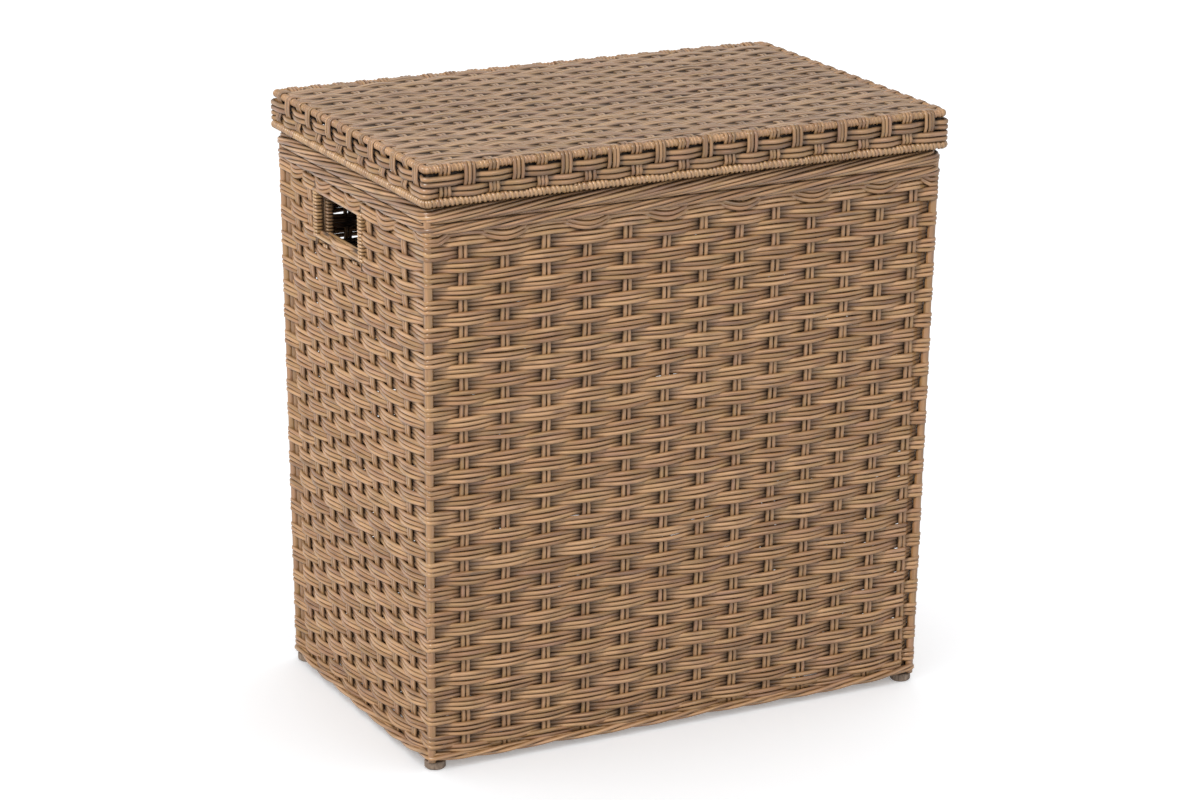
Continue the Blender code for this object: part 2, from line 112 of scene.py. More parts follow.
SKIRT_ROWS = (0.5736, 0.5845)
SKIRT_STRAND, SKIRT_DEPTH, SKIRT_APART = 0.00262, 0.0019, 0.00520  # half sizes and pitch of a row's two
SKIRT_OVER, SKIRT_UNDER, SKIRT_HIDDEN = 0.0021, 0.0070, 0.0045
SKIRT_FILLERS = (0.5688, 0.5785, 0.5888)  # heights of the strands that back the edge inside
FILLER_INSET, FILLER_STRAND, FILLER_DEPTH = 0.0112, 0.0030, 0.0016

GROUP_PITCH, GROUP_MARGIN = 0.0246, 0.004
UPRIGHTS, UPRIGHT_APART, UPRIGHT_WIDTH, UPRIGHT_DEPTH = 3, 0.0038, 0.00196, 0.00100
UPRIGHT_OVER, UPRIGHT_UNDER, UPRIGHT_REACH = 0.0022, 0.0058, HOOP_RADIUS - 0.0002

LID_STAKES, LID_STAKE_PITCH = 15, 0.0349
LID_ROWS, LID_ROW_PITCH = 28, 0.01270
LID_MIDDLE = 0.5972
FLAT_WAVE = 0.0014  # how far a flat panel's rods give way to its strands
FLAT_STRAND, FLAT_WIDTH = 0.00150, 0.0022  # half sizes of a flat panel's strands
FLAT_ROD, FLAT_ROD_WIDTH, FLAT_ROD_GAP = 0.00130, 0.0019, 0.0001  # and of its rods
FLAT_APART, FLAT_SPREAD = 0.0042, 0.0004  # pitch of a row's strands, and what it gains on top
FLAT_WANDER, FLAT_LIFT = 0.00042, 0.00022
BACKING, BACKING_STEP = (0.0011, 0.0016), 0.02  # half sizes of the strands behind the lid's gaps
BACKING_DROP = 0.0005
BASE_STAKES, BASE_ROW_PITCH = 12, 0.0130

# ---- sizes: studio, with angles in degrees ----
FLOOR_SIZE = 14.0
CAMERA_AZIMUTH, CAMERA_ELEVATION, CAMERA_ROLL = -27.111, 17.250, 0.399
CAMERA_DISTANCE, CAMERA_TARGET = 3.638, Vector((-0.0145, -0.0187, 0.2970))
LENS, SENSOR = 109.10, 36.0
LIGHT_AIM = Vector((0, 0, 0.3))

SEAM = 0.62  # where closed rings start, as a share of the way round from the front left corner
GRAIN_LENGTH = 50  # the length of rattan that each strand's grain is taken from

# outward normal and running direction of each side, anticlockwise seen from above
SIDES = ("front", "right", "back", "left")
NORMALS = np.array([(0, -1), (1, 0), (0, 1), (-1, 0)], float)
RUNS = np.array([(1, 0), (0, 1), (-1, 0), (0, -1)], float)
UP = (0, 0, 1)


# ---- places read from the CAD frame ----
def read_body():
    """(height, half width, half depth) of the wall's outer face, low down and high up."""
    left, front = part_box("base_border_left"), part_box("base_border_front")
    wall_left, wall_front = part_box("wall_weave_left"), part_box("wall_weave_front")
    low = (left[1].z, -left[0].x, -front[0].y)
    high = (wall_left[1].z, -wall_left[0].x, -wall_front[0].y)
    return low, high


BODY_LOW, BODY_HIGH = read_body()
HOOP_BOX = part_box("lid_low_hoop")
LID_HALF = (HOOP_BOX[1].x, -HOOP_BOX[0].y)
LOW_HOOP_HEIGHT = (HOOP_BOX[0].z + HOOP_BOX[1].z) / 2
LOW_HOOP_INSET = (HOOP_BOX[1].z - HOOP_BOX[0].z) / 2
HOLE_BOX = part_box("handle_binding_left")
HOLE_Y = (HOLE_BOX[0].y + BINDING, HOLE_BOX[1].y - BINDING)
HOLE_Z = (HOLE_BOX[0].z + BINDING, HOLE_BOX[1].z - BINDING)
HOLE_ALONG = {1: HOLE_Y, 3: (-HOLE_Y[1], -HOLE_Y[0])}  # by side


def body_half(z):
    """Half width and half depth of the body at each height."""
    rise = (np.asarray(z, float) - BODY_LOW[0]) / (BODY_HIGH[0] - BODY_LOW[0])
    half_x = BODY_LOW[1] + (BODY_HIGH[1] - BODY_LOW[1]) * rise
    half_y = BODY_LOW[2] + (BODY_HIGH[2] - BODY_LOW[2]) * rise
    return half_x, half_y


def lid_half(z):
    """Half width and half depth of the lid, the same at each height."""
    z = np.asarray(z, float)
    return np.full_like(z, LID_HALF[0]), np.full_like(z, LID_HALF[1])


def place(side, along, inset, z, half=body_half, bend=BEND):
    """Points in the frame for places on the sides, which turn the corners on an arc."""
    side, along, inset, z = np.broadcast_arrays(side, along, inset, z)
    half_x, half_y = half(z)
    long_side = side % 2 == 0
    reach = np.where(long_side, half_x, half_y)
    depth = np.where(long_side, half_y, half_x)
    end = reach - np.abs(along)
    turn = np.clip(1 - end / bend, 0, None) * math.pi / 4
    radius = np.maximum(bend - inset, TIGHTEST_TURN)
    straight = end >= bend
    out = np.where(straight, depth - inset, depth - bend + radius * np.cos(turn))
    run = np.where(straight, along, np.sign(along) * (reach - bend + radius * np.sin(turn)))
    xy = NORMALS[side] * out[:, None] + RUNS[side] * run[:, None]
    return np.column_stack([xy, z])


def side_lengths(half, z):
    """Lengths of the four sides at a height."""
    half_x, half_y = half(z)
    return np.array([2 * half_x, 2 * half_y, 2 * half_x, 2 * half_y], float)


def side_of(distance, lengths):
    """(side, distance along it) of a distance round the basket from the front left corner."""
    ends = np.cumsum(lengths)
    distance = np.mod(distance, ends[-1])
    side = np.minimum(np.searchsorted(ends, distance, side="right"), 3)
    return side, distance - ends[side] + lengths[side] / 2


def from_back(side, *others):
    """The values round a ring, turned so that its seam is behind the basket."""
    behind = np.flatnonzero(side == SIDES.index("back"))
    return [np.roll(values, -int(behind[len(behind) // 2])) for values in (side, *others)]


# ---- strands ----
def unit(vectors):
    return vectors / np.maximum(np.linalg.norm(vectors, axis=1), 1e-9)[:, None]


def section_axes(line, reference, closed):
    """At each point of a strand, the direction nearest the reference, and the one across it."""
    if closed:
        ahead, behind = np.roll(line, -1, 0), np.roll(line, 1, 0)
    else:
        ahead, behind = np.vstack([line[1:], line[-1:]]), np.vstack([line[:1], line[:-1]])
    tangent = unit(ahead - behind)
    across = unit(np.cross(tangent, np.broadcast_to(np.asarray(reference, float), line.shape)))
    return np.cross(across, tangent), across


def half_sizes(size, count, tip):
    """A half size at each point of a strand, drawn in by a factor at its two ends."""
    sizes = np.broadcast_to(np.asarray(size, float), (count,)).copy()
    sizes[[0, -1]] *= tip
    return sizes


def smooth_between(knots, values, at):
    """Values eased from knot to knot with a cosine."""
    index = np.clip(np.searchsorted(knots, at, side="right") - 1, 0, len(knots) - 2)
    share = (at - knots[index]) / (knots[index + 1] - knots[index])
    ease = (1 - np.cos(np.pi * np.clip(share, 0, 1))) / 2
    return values[index] + (values[index + 1] - values[index]) * ease


class Strands:
    """Round strands gathered into one mesh, each with its own tone and grain for the material."""

    def __init__(self, name, seed, sides=6):
        self.name, self.sides = name, sides
        self.random = np.random.default_rng(seed)
        self.points, self.quads, self.ends = [], [], []
        self.tones, self.grain, self.painted_shade = [], [], []
        self.count = 0

    def add(self, line, tall, reference, wide=None, closed=False, tip=1.0, flat=False,
            tone=None, deep=0.0, crease=0.50):
        """A strand along a line of points: half its size along the reference, and across it.

        Deep is how hidden it is, from 0 to 1, which paints that share of shade on it, and
        crease is the share of painted shade between neighbours, which lie along the reference, or across it
        if flat.
        """
        line = np.asarray(line, float)
        up, across = section_axes(line, reference, closed)
        angle = 2 * math.pi * (np.arange(self.sides) + (0.5 if flat else 0.0)) / self.sides
        rise = np.cos(angle) * half_sizes(tall, len(line), tip)[:, None]
        spread = np.sin(angle) * half_sizes(tall if wide is None else wide, len(line), tip)[:, None]
        ring = rise[:, :, None] * up[:, None] + spread[:, :, None] * across[:, None]
        self.points.append((line[:, None] + ring).reshape(-1, 3))
        self.add_grain(line, rise, spread)
        # painted shade: darker along the edges where a strand meets its neighbours, and over its hidden
        # share
        crevice_shade = crease * (np.sin(angle) if flat else np.cos(angle)) ** 4
        deep = np.broadcast_to(np.asarray(deep, float), (len(line),))
        self.painted_shade.append(np.clip(crevice_shade + deep[:, None], 0, 1).reshape(-1))
        self.tones.append(np.full(rise.size, self.random.uniform() if tone is None else tone))
        self.add_faces(len(line), closed)

    def add_grain(self, line, rise, spread):
        """Where each point lies in the strand's own section, and how far along its grain."""
        steps = np.linalg.norm(np.diff(line, axis=0), axis=1)
        along = np.concatenate([[0], np.cumsum(steps)]) + self.random.uniform(0, GRAIN_LENGTH)
        grain = np.stack([rise, spread, np.broadcast_to(along[:, None], rise.shape)], -1)
        self.grain.append(grain.reshape(-1, 3))

    def add_faces(self, count, closed):
        """Faces between neighbouring sections, and caps on the two ends of an open strand."""
        ring = np.arange(count if closed else count - 1)[:, None] * self.sides
        next_ring = (ring + self.sides) % (count * self.sides)
        here = np.arange(self.sides)
        beside = (here + 1) % self.sides
        quads = np.stack([ring + here, next_ring + here, next_ring + beside, ring + beside], -1)
        self.quads.append(quads.reshape(-1, 4) + self.count)
        if not closed:
            last = self.count + (count - 1) * self.sides
            self.ends += [(self.count + here).tolist(), (last + here[::-1]).tolist()]
        self.count += count * self.sides

    def build(self, material, body, replaces):
        """The mesh as a piece that rides on a body."""
        mesh = bpy.data.meshes.new(self.name)
        mesh.from_pydata(np.concatenate(self.points), [], np.concatenate(self.quads).tolist() + self.ends)
        for label, kind, field, values in (
            ("strand_tone", "FLOAT", "value", self.tones),
            ("strand_painted_shade", "FLOAT", "value", self.painted_shade),
            ("strand_grain", "FLOAT_VECTOR", "vector", self.grain),
        ):
            attribute = mesh.attributes.new(label, kind, "POINT")
            attribute.data.foreach_set(field, np.concatenate(values).astype(np.float32).ravel())
        mesh.materials.append(material)
        mesh.shade_smooth()
        piece = bpy.data.objects.new(self.name, mesh)
        bpy.context.scene.collection.objects.link(piece)
        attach(piece, body)
        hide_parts(*replaces)


# ---- materials ----
class Nodes:
    """Short calls for building one material's nodes."""

    def __init__(self, name):
        self.material = bpy.data.materials.new(name)
        self.material.use_nodes = True
        self.tree = self.material.node_tree
        self.shader = self.tree.nodes["Principled BSDF"]

    def new(self, kind, **settings):
        node = self.tree.nodes.new(kind)
        for key, value in settings.items():
            setattr(node, key, value)
        return node

    def link(self, output, target):
        self.tree.links.new(output, target)

    def noise(self, vector, scale, detail=3.0, roughness=0.6):
        """Noise whose scale along each axis is the number of features in a metre."""
        mapping = self.new("ShaderNodeMapping")
        mapping.inputs["Scale"].default_value = scale
        self.link(vector, mapping.inputs["Vector"])
        node = self.new("ShaderNodeTexNoise")
        node.inputs["Scale"].default_value = 1.0
        node.inputs["Detail"].default_value = detail
        node.inputs["Roughness"].default_value = roughness
        self.link(mapping.outputs["Vector"], node.inputs["Vector"])
        return node.outputs["Fac"]

    def ramp(self, factor, stops):
        node = self.new("ShaderNodeValToRGB")
        elements = node.color_ramp.elements
        while len(elements) < len(stops):
            elements.new(0.5)
        for element, (position, colour) in zip(elements, stops):
            element.position = position
            element.color = (*colour, 1.0)
        self.link(factor, node.inputs["Fac"])
        return node.outputs["Color"]

    def range(self, value, low, high, to_low, to_high):
        node = self.new("ShaderNodeMapRange")
        for key, number in (("From Min", low), ("From Max", high), ("To Min", to_low), ("To Max", to_high)):
            node.inputs[key].default_value = number
        self.link(value, node.inputs["Value"])
        return node.outputs["Result"]

    def mix(self, factor, first, second):
        """The first colour passing into the second, each a link or a plain colour."""
        node = self.new("ShaderNodeMix", data_type="RGBA")
        self.link(factor, node.inputs[0])
        for value, socket in ((first, node.inputs[6]), (second, node.inputs[7])):
            if isinstance(value, bpy.types.NodeSocket):
                self.link(value, socket)
            else:
                socket.default_value = (*value, 1.0)
        return node.outputs[2]

    def bump(self, height, strength, distance):
        node = self.new("ShaderNodeBump")
        node.inputs["Strength"].default_value = strength
        node.inputs["Distance"].default_value = distance
        self.link(height, node.inputs["Height"])
        self.link(node.outputs["Normal"], self.shader.inputs["Normal"])


def shade(colour, factor):
    return tuple(channel * factor for channel in colour)


# light, middle and deep colour of each kind of rattan
TANS = (0.400, 0.226, 0.106), (0.268, 0.133, 0.053), (0.142, 0.064, 0.024)
STAKE_TANS = (0.332, 0.182, 0.083), (0.257, 0.134, 0.058), (0.174, 0.086, 0.035)
LID_TANS = (0.343, 0.210, 0.116), (0.244, 0.141, 0.075), (0.130, 0.070, 0.038)
EDGE_TANS = (0.315, 0.170, 0.075), (0.202, 0.100, 0.040), (0.104, 0.048, 0.018)
BORDER_TANS = shade(TANS[0], 1.08), shade(TANS[1], 0.98), TANS[2]
BIND_TANS = (0.400, 0.243, 0.120), (0.322, 0.184, 0.087), TANS[2]
POLE_TANS = (0.348, 0.199, 0.090), (0.230, 0.118, 0.050)
GREY_STAIN, LID_STAIN = (0.070, 0.042, 0.030), (0.082, 0.052, 0.040)
OLIVE, ROSE = (0.252, 0.150, 0.049), (0.268, 0.143, 0.088)
DARK_WOOD, MID_WOOD, WORN_WOOD = (0.066, 0.043, 0.028), (0.148, 0.105, 0.074), (0.21, 0.160, 0.117)
DULL_ZINC, BRIGHT_ZINC = (0.42, 0.43, 0.44), (0.66, 0.66, 0.64)
PAPER = (0.955, 0.975, 1.0)


def rattan(name, light, mid, deep, stain=GREY_STAIN, stain_share=0.5, gloss=0.26):
    """Peeled rattan: a tone for each strand, long stains, fine fibres, painted shade where strands meet or
    hide, and a satin skin.
    """
    n = Nodes(name)
    tone = n.new("ShaderNodeAttribute", attribute_name="strand_tone").outputs["Fac"]
    grain = n.new("ShaderNodeAttribute", attribute_name="strand_grain").outputs["Vector"]
    painted_shade = n.new("ShaderNodeAttribute", attribute_name="strand_painted_shade").outputs["Fac"]
    colour = n.ramp(tone, [(0.0, deep), (0.25, mid), (0.60, mid), (0.85, light), (1.0, light)])
    hue = n.noise(grain, (30, 30, 16), 2.0)
    colour = n.mix(n.range(hue, 0.40, 0.54, 0.55, 0.0), colour, OLIVE)
    colour = n.mix(n.range(hue, 0.53, 0.66, 0.0, 0.60), colour, ROSE)
    drift = n.noise(grain, (40, 40, 25), 2.0)
    colour = n.mix(n.range(drift, 0.50, 0.68, 0.0, 0.70), colour, deep)
    glow = n.noise(grain, (380, 380, 13), 2.0, 0.5)
    colour = n.mix(n.range(glow, 0.50, 0.66, 0.0, 0.75), colour, light)
    patch = n.noise(grain, (120, 120, 22))
    colour = n.mix(n.range(patch, 0.58, 0.72, 0.0, stain_share), colour, stain)
    fibre = n.noise(grain, (1300, 1300, 30))
    colour = n.mix(n.range(fibre, 0.30, 0.70, 0.35, 0.0), colour, shade(deep, 0.55))
    # painted shade: creases and hidden parts darkened nearly to black
    colour = n.mix(n.range(painted_shade, 0.0, 1.0, 0.0, 0.96), colour, shade(deep, 0.15))
    n.link(colour, n.shader.inputs["Base Color"])
    satin_skin(n, fibre, painted_shade, gloss)
    return n.material


def satin_skin(n, fibre, painted_shade, gloss):
    """The shine of rattan, which fibres break up, and which is rougher where shade is painted."""
    dull = n.new("ShaderNodeMath", operation="MULTIPLY_ADD")
    n.link(painted_shade, dull.inputs[0])
    dull.inputs[1].default_value = 0.5
    n.link(n.range(fibre, 0.3, 0.7, gloss + 0.14, gloss), dull.inputs[2])
    n.link(dull.outputs[0], n.shader.inputs["Roughness"])
    n.shader.inputs["Specular IOR Level"].default_value = 0.68
    n.bump(fibre, 0.35, 0.0004)


def pole_finish(axis, light, deep, gloss=0.42):
    """A whole rattan pole, its grain along one axis of the frame."""
    n = Nodes("rattan_pole_" + "xyz"[axis])
    here = n.new("ShaderNodeTexCoord").outputs["Object"]
    fine, coarse = [700.0] * 3, [90.0] * 3
    fine[axis], coarse[axis] = 18.0, 9.0
    patch = n.noise(here, coarse)
    base = n.mix(n.range(patch, 0.35, 0.68, 0.0, 1.0), light, deep)
    fibre = n.noise(here, fine)
    streaked = n.mix(n.range(fibre, 0.3, 0.7, 0.4, 0.0), base, shade(deep, 0.5))
    n.link(streaked, n.shader.inputs["Base Color"])
    n.link(n.range(fibre, 0.3, 0.7, gloss + 0.15, gloss), n.shader.inputs["Roughness"])
    n.bump(fibre, 0.4, 0.0005)
    return n.material


def foot_finish():
    """Dark turned wood with end wear."""
    n = Nodes("foot_wood")
    here = n.new("ShaderNodeTexCoord").outputs["Object"]
    grain = n.noise(here, (240, 900, 120), 4.0)
    base = n.ramp(grain, [(0.3, DARK_WOOD), (0.55, MID_WOOD), (0.75, WORN_WOOD)])
    n.link(base, n.shader.inputs["Base Color"])
    n.link(n.range(grain, 0.3, 0.7, 0.7, 0.5), n.shader.inputs["Roughness"])
    n.bump(grain, 0.5, 0.0006)
    return n.material


def steel_finish():
    """Zinc plate, slightly mottled."""
    n = Nodes("zinc_plate")
    here = n.new("ShaderNodeTexCoord").outputs["Object"]
    mottle = n.noise(here, (900, 900, 900), 3.0, 0.5)
    base = n.ramp(mottle, [(0.3, DULL_ZINC), (0.7, BRIGHT_ZINC)])
    n.link(base, n.shader.inputs["Base Color"])
    n.shader.inputs["Metallic"].default_value = 1.0
    n.link(n.range(mottle, 0.3, 0.7, 0.28, 0.45), n.shader.inputs["Roughness"])
    return n.material


WALL = rattan("rattan_wall", *TANS, stain_share=0.55)
STAKE = rattan("rattan_stake", *STAKE_TANS, stain_share=0.3)
LID = rattan("rattan_lid", *LID_TANS, stain=LID_STAIN, stain_share=0.6)
EDGE = rattan("rattan_edge", *EDGE_TANS, stain_share=0.6, gloss=0.24)
BORDER = rattan("rattan_border", *BORDER_TANS, stain_share=0.55, gloss=0.22)
BIND = rattan("rattan_binding", *BIND_TANS, stain_share=0.4)
POLES = [pole_finish(axis, *POLE_TANS) for axis in range(3)]
FOOT = foot_finish()
STEEL = steel_finish()


# ---- walls: stakes and rows ----
def stake_places():
    """Distances of the stakes along each side. The front's close up a little towards the right."""
    long, short = np.arange(13), np.arange(8)
    drift = 0.0022 * np.exp(-(((long - 4.7) / 1.6) ** 2))
    front = -0.2345 + 0.0433 * long - 0.000235 * long**2 + drift
    left = -0.136 + 0.0322 * short + 0.00068 * short**2
    return front, -left[::-1], (long - 6) * 0.0412, left


STAKES = stake_places()


def lean(z):
    """How far the stakes have leaned along their side at a height."""
    return STAKE_LEAN * (UPRIGHT_AT - z)


def row_height(row):
    squeeze = TOP_SQUEEZE if row == ROWS - 1 else 0.0
    return FIRST_ROW + ROW_PITCH * row + FIRST_LIFT * math.exp(-row / 0.7) - squeeze


def sway(side, along, z):
    """How far the rows drift from level: up at the corners, down on the end walls."""
    half_x, half_y = body_half(z)
    from_corner = np.where(side % 2 == 0, half_x, half_y) - np.abs(along)
    lift = 0.0013 + 0.0034 * np.exp(-(z - 0.02) / 0.08)
    rise = lift * np.exp(-((from_corner / 0.036) ** 2))
    end_wall = np.where(side % 2 == 1, 0.0038 * (0.35 + 1.3 * z), 0.0)
    sag = end_wall * (1 - np.exp(-((from_corner / 0.04) ** 2)))
    ripple = 0.0005 * np.sin(along * 31 + z * 23 + side) + 0.0004 * np.sin(along * 74 - z * 61 + 2 * side)
    return rise - sag + ripple


def crossing_order(row):
    """Each side's stakes, which of them the row passes outside, and if it passes its first post so."""
    order, index = [], 0
    for stakes in STAKES:
        along = stakes + lean(row_height(row))
        outside = (index + 1 + np.arange(len(along)) + row) % 2 == 1
        order.append((along, outside, (index + row) % 2 == 1))
        index += len(along) + 1
    return order


def corner_shape(outside):
    """(bend, inset) of a strand where it passes outside or inside a corner post."""
    return (OUTER_BEND, CORNER_OVER) if outside else (INNER_BEND, CORNER_UNDER)


def columns(side, along, knot, inset):
    """Places on one side as four columns of one length."""
    return [np.broadcast_to(values, along.shape) for values in (side, along, knot, inset)]


def row_samples(row):
    """Round a row: each place's side, distance along, knot number and inset, and the knots' count."""
    lengths = side_lengths(body_half, row_height(row))
    order = crossing_order(row)
    step, turn = np.arange(KNOT_STEPS) / KNOT_STEPS, np.arange(CORNER_STEPS) / CORNER_STEPS
    ease = (1 - np.cos(np.pi * step)) / 2
    parts, knot = [], 0
    for side, (along, outside, corner_outside) in enumerate(order):
        beyond = (side + 1) % 4
        first_bend, first_inset = corner_shape(corner_outside)
        last_bend, last_inset = corner_shape(order[beyond][2])
        half = lengths[side] / 2
        end = half - last_bend
        knots = np.concatenate([[-half + first_bend], along, [end]])[:, None]
        insets = np.concatenate([[first_inset], np.where(outside, OVER, UNDER), [last_inset]])[:, None]
        places = (knots[:-1] + (knots[1:] - knots[:-1]) * step).ravel()
        numbers = (np.arange(len(knots) - 1)[:, None] + knot + step).ravel()
        eased = (insets[:-1] + (insets[1:] - insets[:-1]) * ease).ravel()
        parts.append(columns(side, places, numbers, eased))
        knot += len(knots) - 1
        parts.append(columns(side, end + (half - end) * turn, knot + turn * 0.5, last_inset))
        after = -lengths[beyond] / 2 + last_bend * turn
        parts.append(columns(beyond, after, knot + turn * 0.5 + 0.5, last_inset))
        knot += 1
    return *map(np.concatenate, zip(*parts)), knot


def row_bend(row, side, along):
    """A row's bend at the corner nearest each place, which depends on how it passes the post."""
    bends = np.array([corner_shape(outside)[0] for _, _, outside in crossing_order(row)])
    return np.where(along < 0, bends[side], bends[(side + 1) % 4])


def corner_press(row, side, along, z):
    """How hard a strand is pulled against a corner post, from 0 to 1."""
    half_x, half_y = body_half(z)
    from_corner = np.where(side % 2 == 0, half_x, half_y) - np.abs(along)
    return (row_bend(row, side, along) == OUTER_BEND) * np.exp(-((from_corner / PRESS_REACH) ** 2))


def in_hand_hole(side, along, height):
    """Which places lie where a hand hole is cut."""
    inside = np.zeros(len(side), bool)
    for hole_side, (low, high) in HOLE_ALONG.items():
        inside |= (side == hole_side) & (along > low - HOLE_MARGIN) & (along < high + HOLE_MARGIN)
    return inside & (height > HOLE_Z[0] - HOLE_MARGIN) & (height < HOLE_Z[1] + HOLE_MARGIN)


def kept_runs(cut):
    """The stretches of a ring that are not cut away, as the numbers of their places."""
    start = int(np.flatnonzero(cut & ~np.roll(cut, 1))[0])
    order = np.roll(np.arange(len(cut)), -start)
    keep = ~cut[order]
    edges = np.flatnonzero(np.diff(np.concatenate([[0], keep.astype(int), [0]])))
    return [order[low:high] for low, high in zip(edges[::2], edges[1::2]) if high - low > SHORTEST_RUN]


def stray(random, knots, knot):
    """How far a hand-laid strand strays round a ring."""
    values = random.normal(0, STRAND_WANDER, knots + 1)
    values[-1] = values[0]
    return smooth_between(np.arange(knots + 1, dtype=float), values, knot)


def add_row(strands, row):
    """The strands of one row, side by side, which run on round the basket."""
    side, along, knot, depth, knots = row_samples(row)
    side, along, knot, depth = from_back(side, along, knot, depth)
    z = row_height(row)
    outside = np.clip((MIDDLE - depth) / (MIDDLE - OVER), -1, 1)
    inside = np.maximum(-outside, 0)
    height = z + sway(side, along, z) + TOP_RISES.get(row, OUTSIDE_RISE) * outside
    cut = in_hand_hole(side, along, height)
    # painted shade on the stretches that pass deep behind the stakes
    deep = 0.95 * np.clip((depth - HIDDEN) / (UNDER - HIDDEN), 0, 1) ** 2
    apart = STRAND_APART + APART_OUTSIDE * np.maximum(outside, -0.2)
    for number in range(ROW_STRANDS):
        level = height + (number - (ROW_STRANDS - 1) / 2) * apart + stray(strands.random, knots, knot)
        inset = depth + stray(strands.random, knots, knot) + STRAND_PROUD
        if number == 1:
            inset = inset + MIDDLE_TUCK * inside
        line = place(side, along, inset, level, body_half, row_bend(row, side, along))
        tall = STRAND * strands.random.uniform(0.97, 1.06) * (1 + 0.14 * inside)
        wide = STRAND_DEPTH + (PRESSED_DEPTH - STRAND_DEPTH) * corner_press(row, side, along, level)
        if not cut.any():
            strands.add(line, tall, UP, wide, closed=True, deep=deep)
            continue
        for kept in kept_runs(cut):
            strands.add(line[kept], tall[kept], UP, wide[kept], deep=deep[kept])


def make_walls():
    """All the rows, in four bands so that no piece is too big."""
    bands = (("bottom", 0, 11), ("lower", 11, 21), ("upper", 21, 32), ("top", 32, ROWS))
    for number, (label, first, last) in enumerate(bands):
        strands = Strands("wall_weave_rows_" + label, 100 + number)
        for row in range(first, last):
            add_row(strands, row)
        strands.build(WALL, "basket", ["wall_weave_" + side for side in SIDES])


def stake_spans(side, along):
    """(bottom, top) of each stretch of a stake, which a hand hole may cut in two."""
    if side in HOLE_ALONG:
        low, high = HOLE_ALONG[side]
        if low - HOLE_MARGIN < along < high + HOLE_MARGIN:
            return (STAKE_BOTTOM, HOLE_Z[0] - HOLE_MARGIN), (HOLE_Z[1] + 2 * HOLE_MARGIN, STAKE_TOP)
    return ((STAKE_BOTTOM, STAKE_TOP),)


def stake_rod(side, number, shift, bottom, top, random):
    """The line of one of a stake's two rods, bowed a little out where it shows."""
    z = np.arange(bottom, top, ROD_STEP)
    along = STAKES[side][number] + lean(z) + shift
    along = along + 0.0003 * np.sin(z * 95 + random.uniform(0, 6))
    crossings_before = sum(len(STAKES[i]) + 1 for i in range(side)) + 1
    showing = np.cos(np.pi * ((z - FIRST_ROW) / ROW_PITCH + crossings_before + number))
    return place(side, along, STAKE_INSET - STAKE_WAVE * showing, z)


def make_stakes():
    for side, name in enumerate(SIDES):
        strands = Strands("wall_stakes_" + name, 200 + side)
        normal = (*NORMALS[side], 0)
        for number, along in enumerate(STAKES[side]):
            for shift in (-ROD_APART, ROD_APART):
                for bottom, top in stake_spans(side, along):
                    line = stake_rod(side, number, shift, bottom, top, strands.random)
                    width = ROD_WIDTH * strands.random.uniform(0.95, 1.05)
                    strands.add(line, ROD_DEPTH, normal, width, flat=True)
        strands.build(STAKE, "basket", ["wall_weave_" + name])


def make_corner_posts():
    """A pole at each corner, a little uneven, with a thicker pole inside it and a rod beside it."""
    corners = (("front_left", -1, -1), ("front_right", 1, -1), ("back_right", 1, 1), ("back_left", -1, 1))
    for number, (name, way_x, way_y) in enumerate(corners):
        strands = Strands("corner_pole_" + name, 240 + number, sides=14)
        outwards = (way_x, way_y, 0)
        z = np.arange(POST_BOTTOM, POST_TOP, POST_STEP)
        half_x, half_y = body_half(z)
        line = np.column_stack([way_x * (half_x - POST_INSET), way_y * (half_y - POST_INSET), z])
        knuckle = np.exp(-(((z - strands.random.uniform(0.16, 0.40)) / 0.004) ** 2))
        radius = POST_RADIUS * (1 + 0.02 * np.sin(z * 40 + number)) + 0.0004 * knuckle
        strands.add(line, radius, outwards, tone=0.55, crease=0.1)
        # the inner pole and the rod beside it are painted darker, as shade: low tones and a deep share
        inwards = np.array(outwards) * (INNER_POST_INSET - POST_INSET)
        strands.add(line - inwards, INNER_POST_RADIUS, outwards, tone=0.2, deep=0.5)
        side_x, side_y = half_x - SIDE_ROD_INSET[0], half_y - SIDE_ROD_INSET[1]
        beside = np.column_stack([way_x * side_x, way_y * side_y, z])
        strands.add(beside, SIDE_ROD_RADIUS, outwards, tone=0.3, deep=0.35)
        strands.build(STAKE, "basket", ["corner_post_" + name])


# ---- rim and base borders ----
def body_ring(z, count):
    """The share of the way round for places round the body, their sides and distances along."""
    lengths = side_lengths(body_half, z)
    around = lengths.sum()
    distance = np.linspace(SEAM * around, (1 + SEAM) * around, count, endpoint=False)
    return distance / around, *side_of(distance, lengths)


def slow_wave(random, share, fewest, most):
    """A wave with a whole number of periods round the basket."""
    return np.sin(2 * math.pi * (share * random.integers(fewest, most) + random.uniform()))


def add_roll(strands, middle, size, members, turns, radius):
    """Strands twisted along the rim on an oval section: (inset, height) of its middle and half sizes."""
    around = side_lengths(body_half, middle[1]).sum()
    share, side, along = body_ring(middle[1], int(around / ROLL_STEP))
    for member in range(members):
        wobble = 0.10 * slow_wave(strands.random, share, 5, 14)
        angle = 2 * math.pi * (turns * share + member / members) + wobble
        slack = 1 + 0.05 * slow_wave(strands.random, share, 9, 19)
        inset = middle[0] - (size[0] - radius) * np.cos(angle) * slack
        level = middle[1] + (size[1] - radius) * np.sin(angle)
        line = place(side, along, inset, level, body_half, RIM_BEND)
        thick = radius * strands.random.uniform(0.93, 1.05)
        # strong painted shade between the rim's strands, and a little over all of them
        strands.add(line, thick, UP, closed=True, deep=0.04, crease=0.96)


def make_rim():
    """A wide roll over the top rail, and a smaller one under it."""
    for name, seed, roll in (("upper", 300, UPPER_ROLL), ("lower", 310, LOWER_ROLL)):
        strands = Strands("rim_border_" + name, seed)
        add_roll(strands, **roll)
        strands.build(BORDER, "basket", ["rim_border_" + side for side in SIDES])


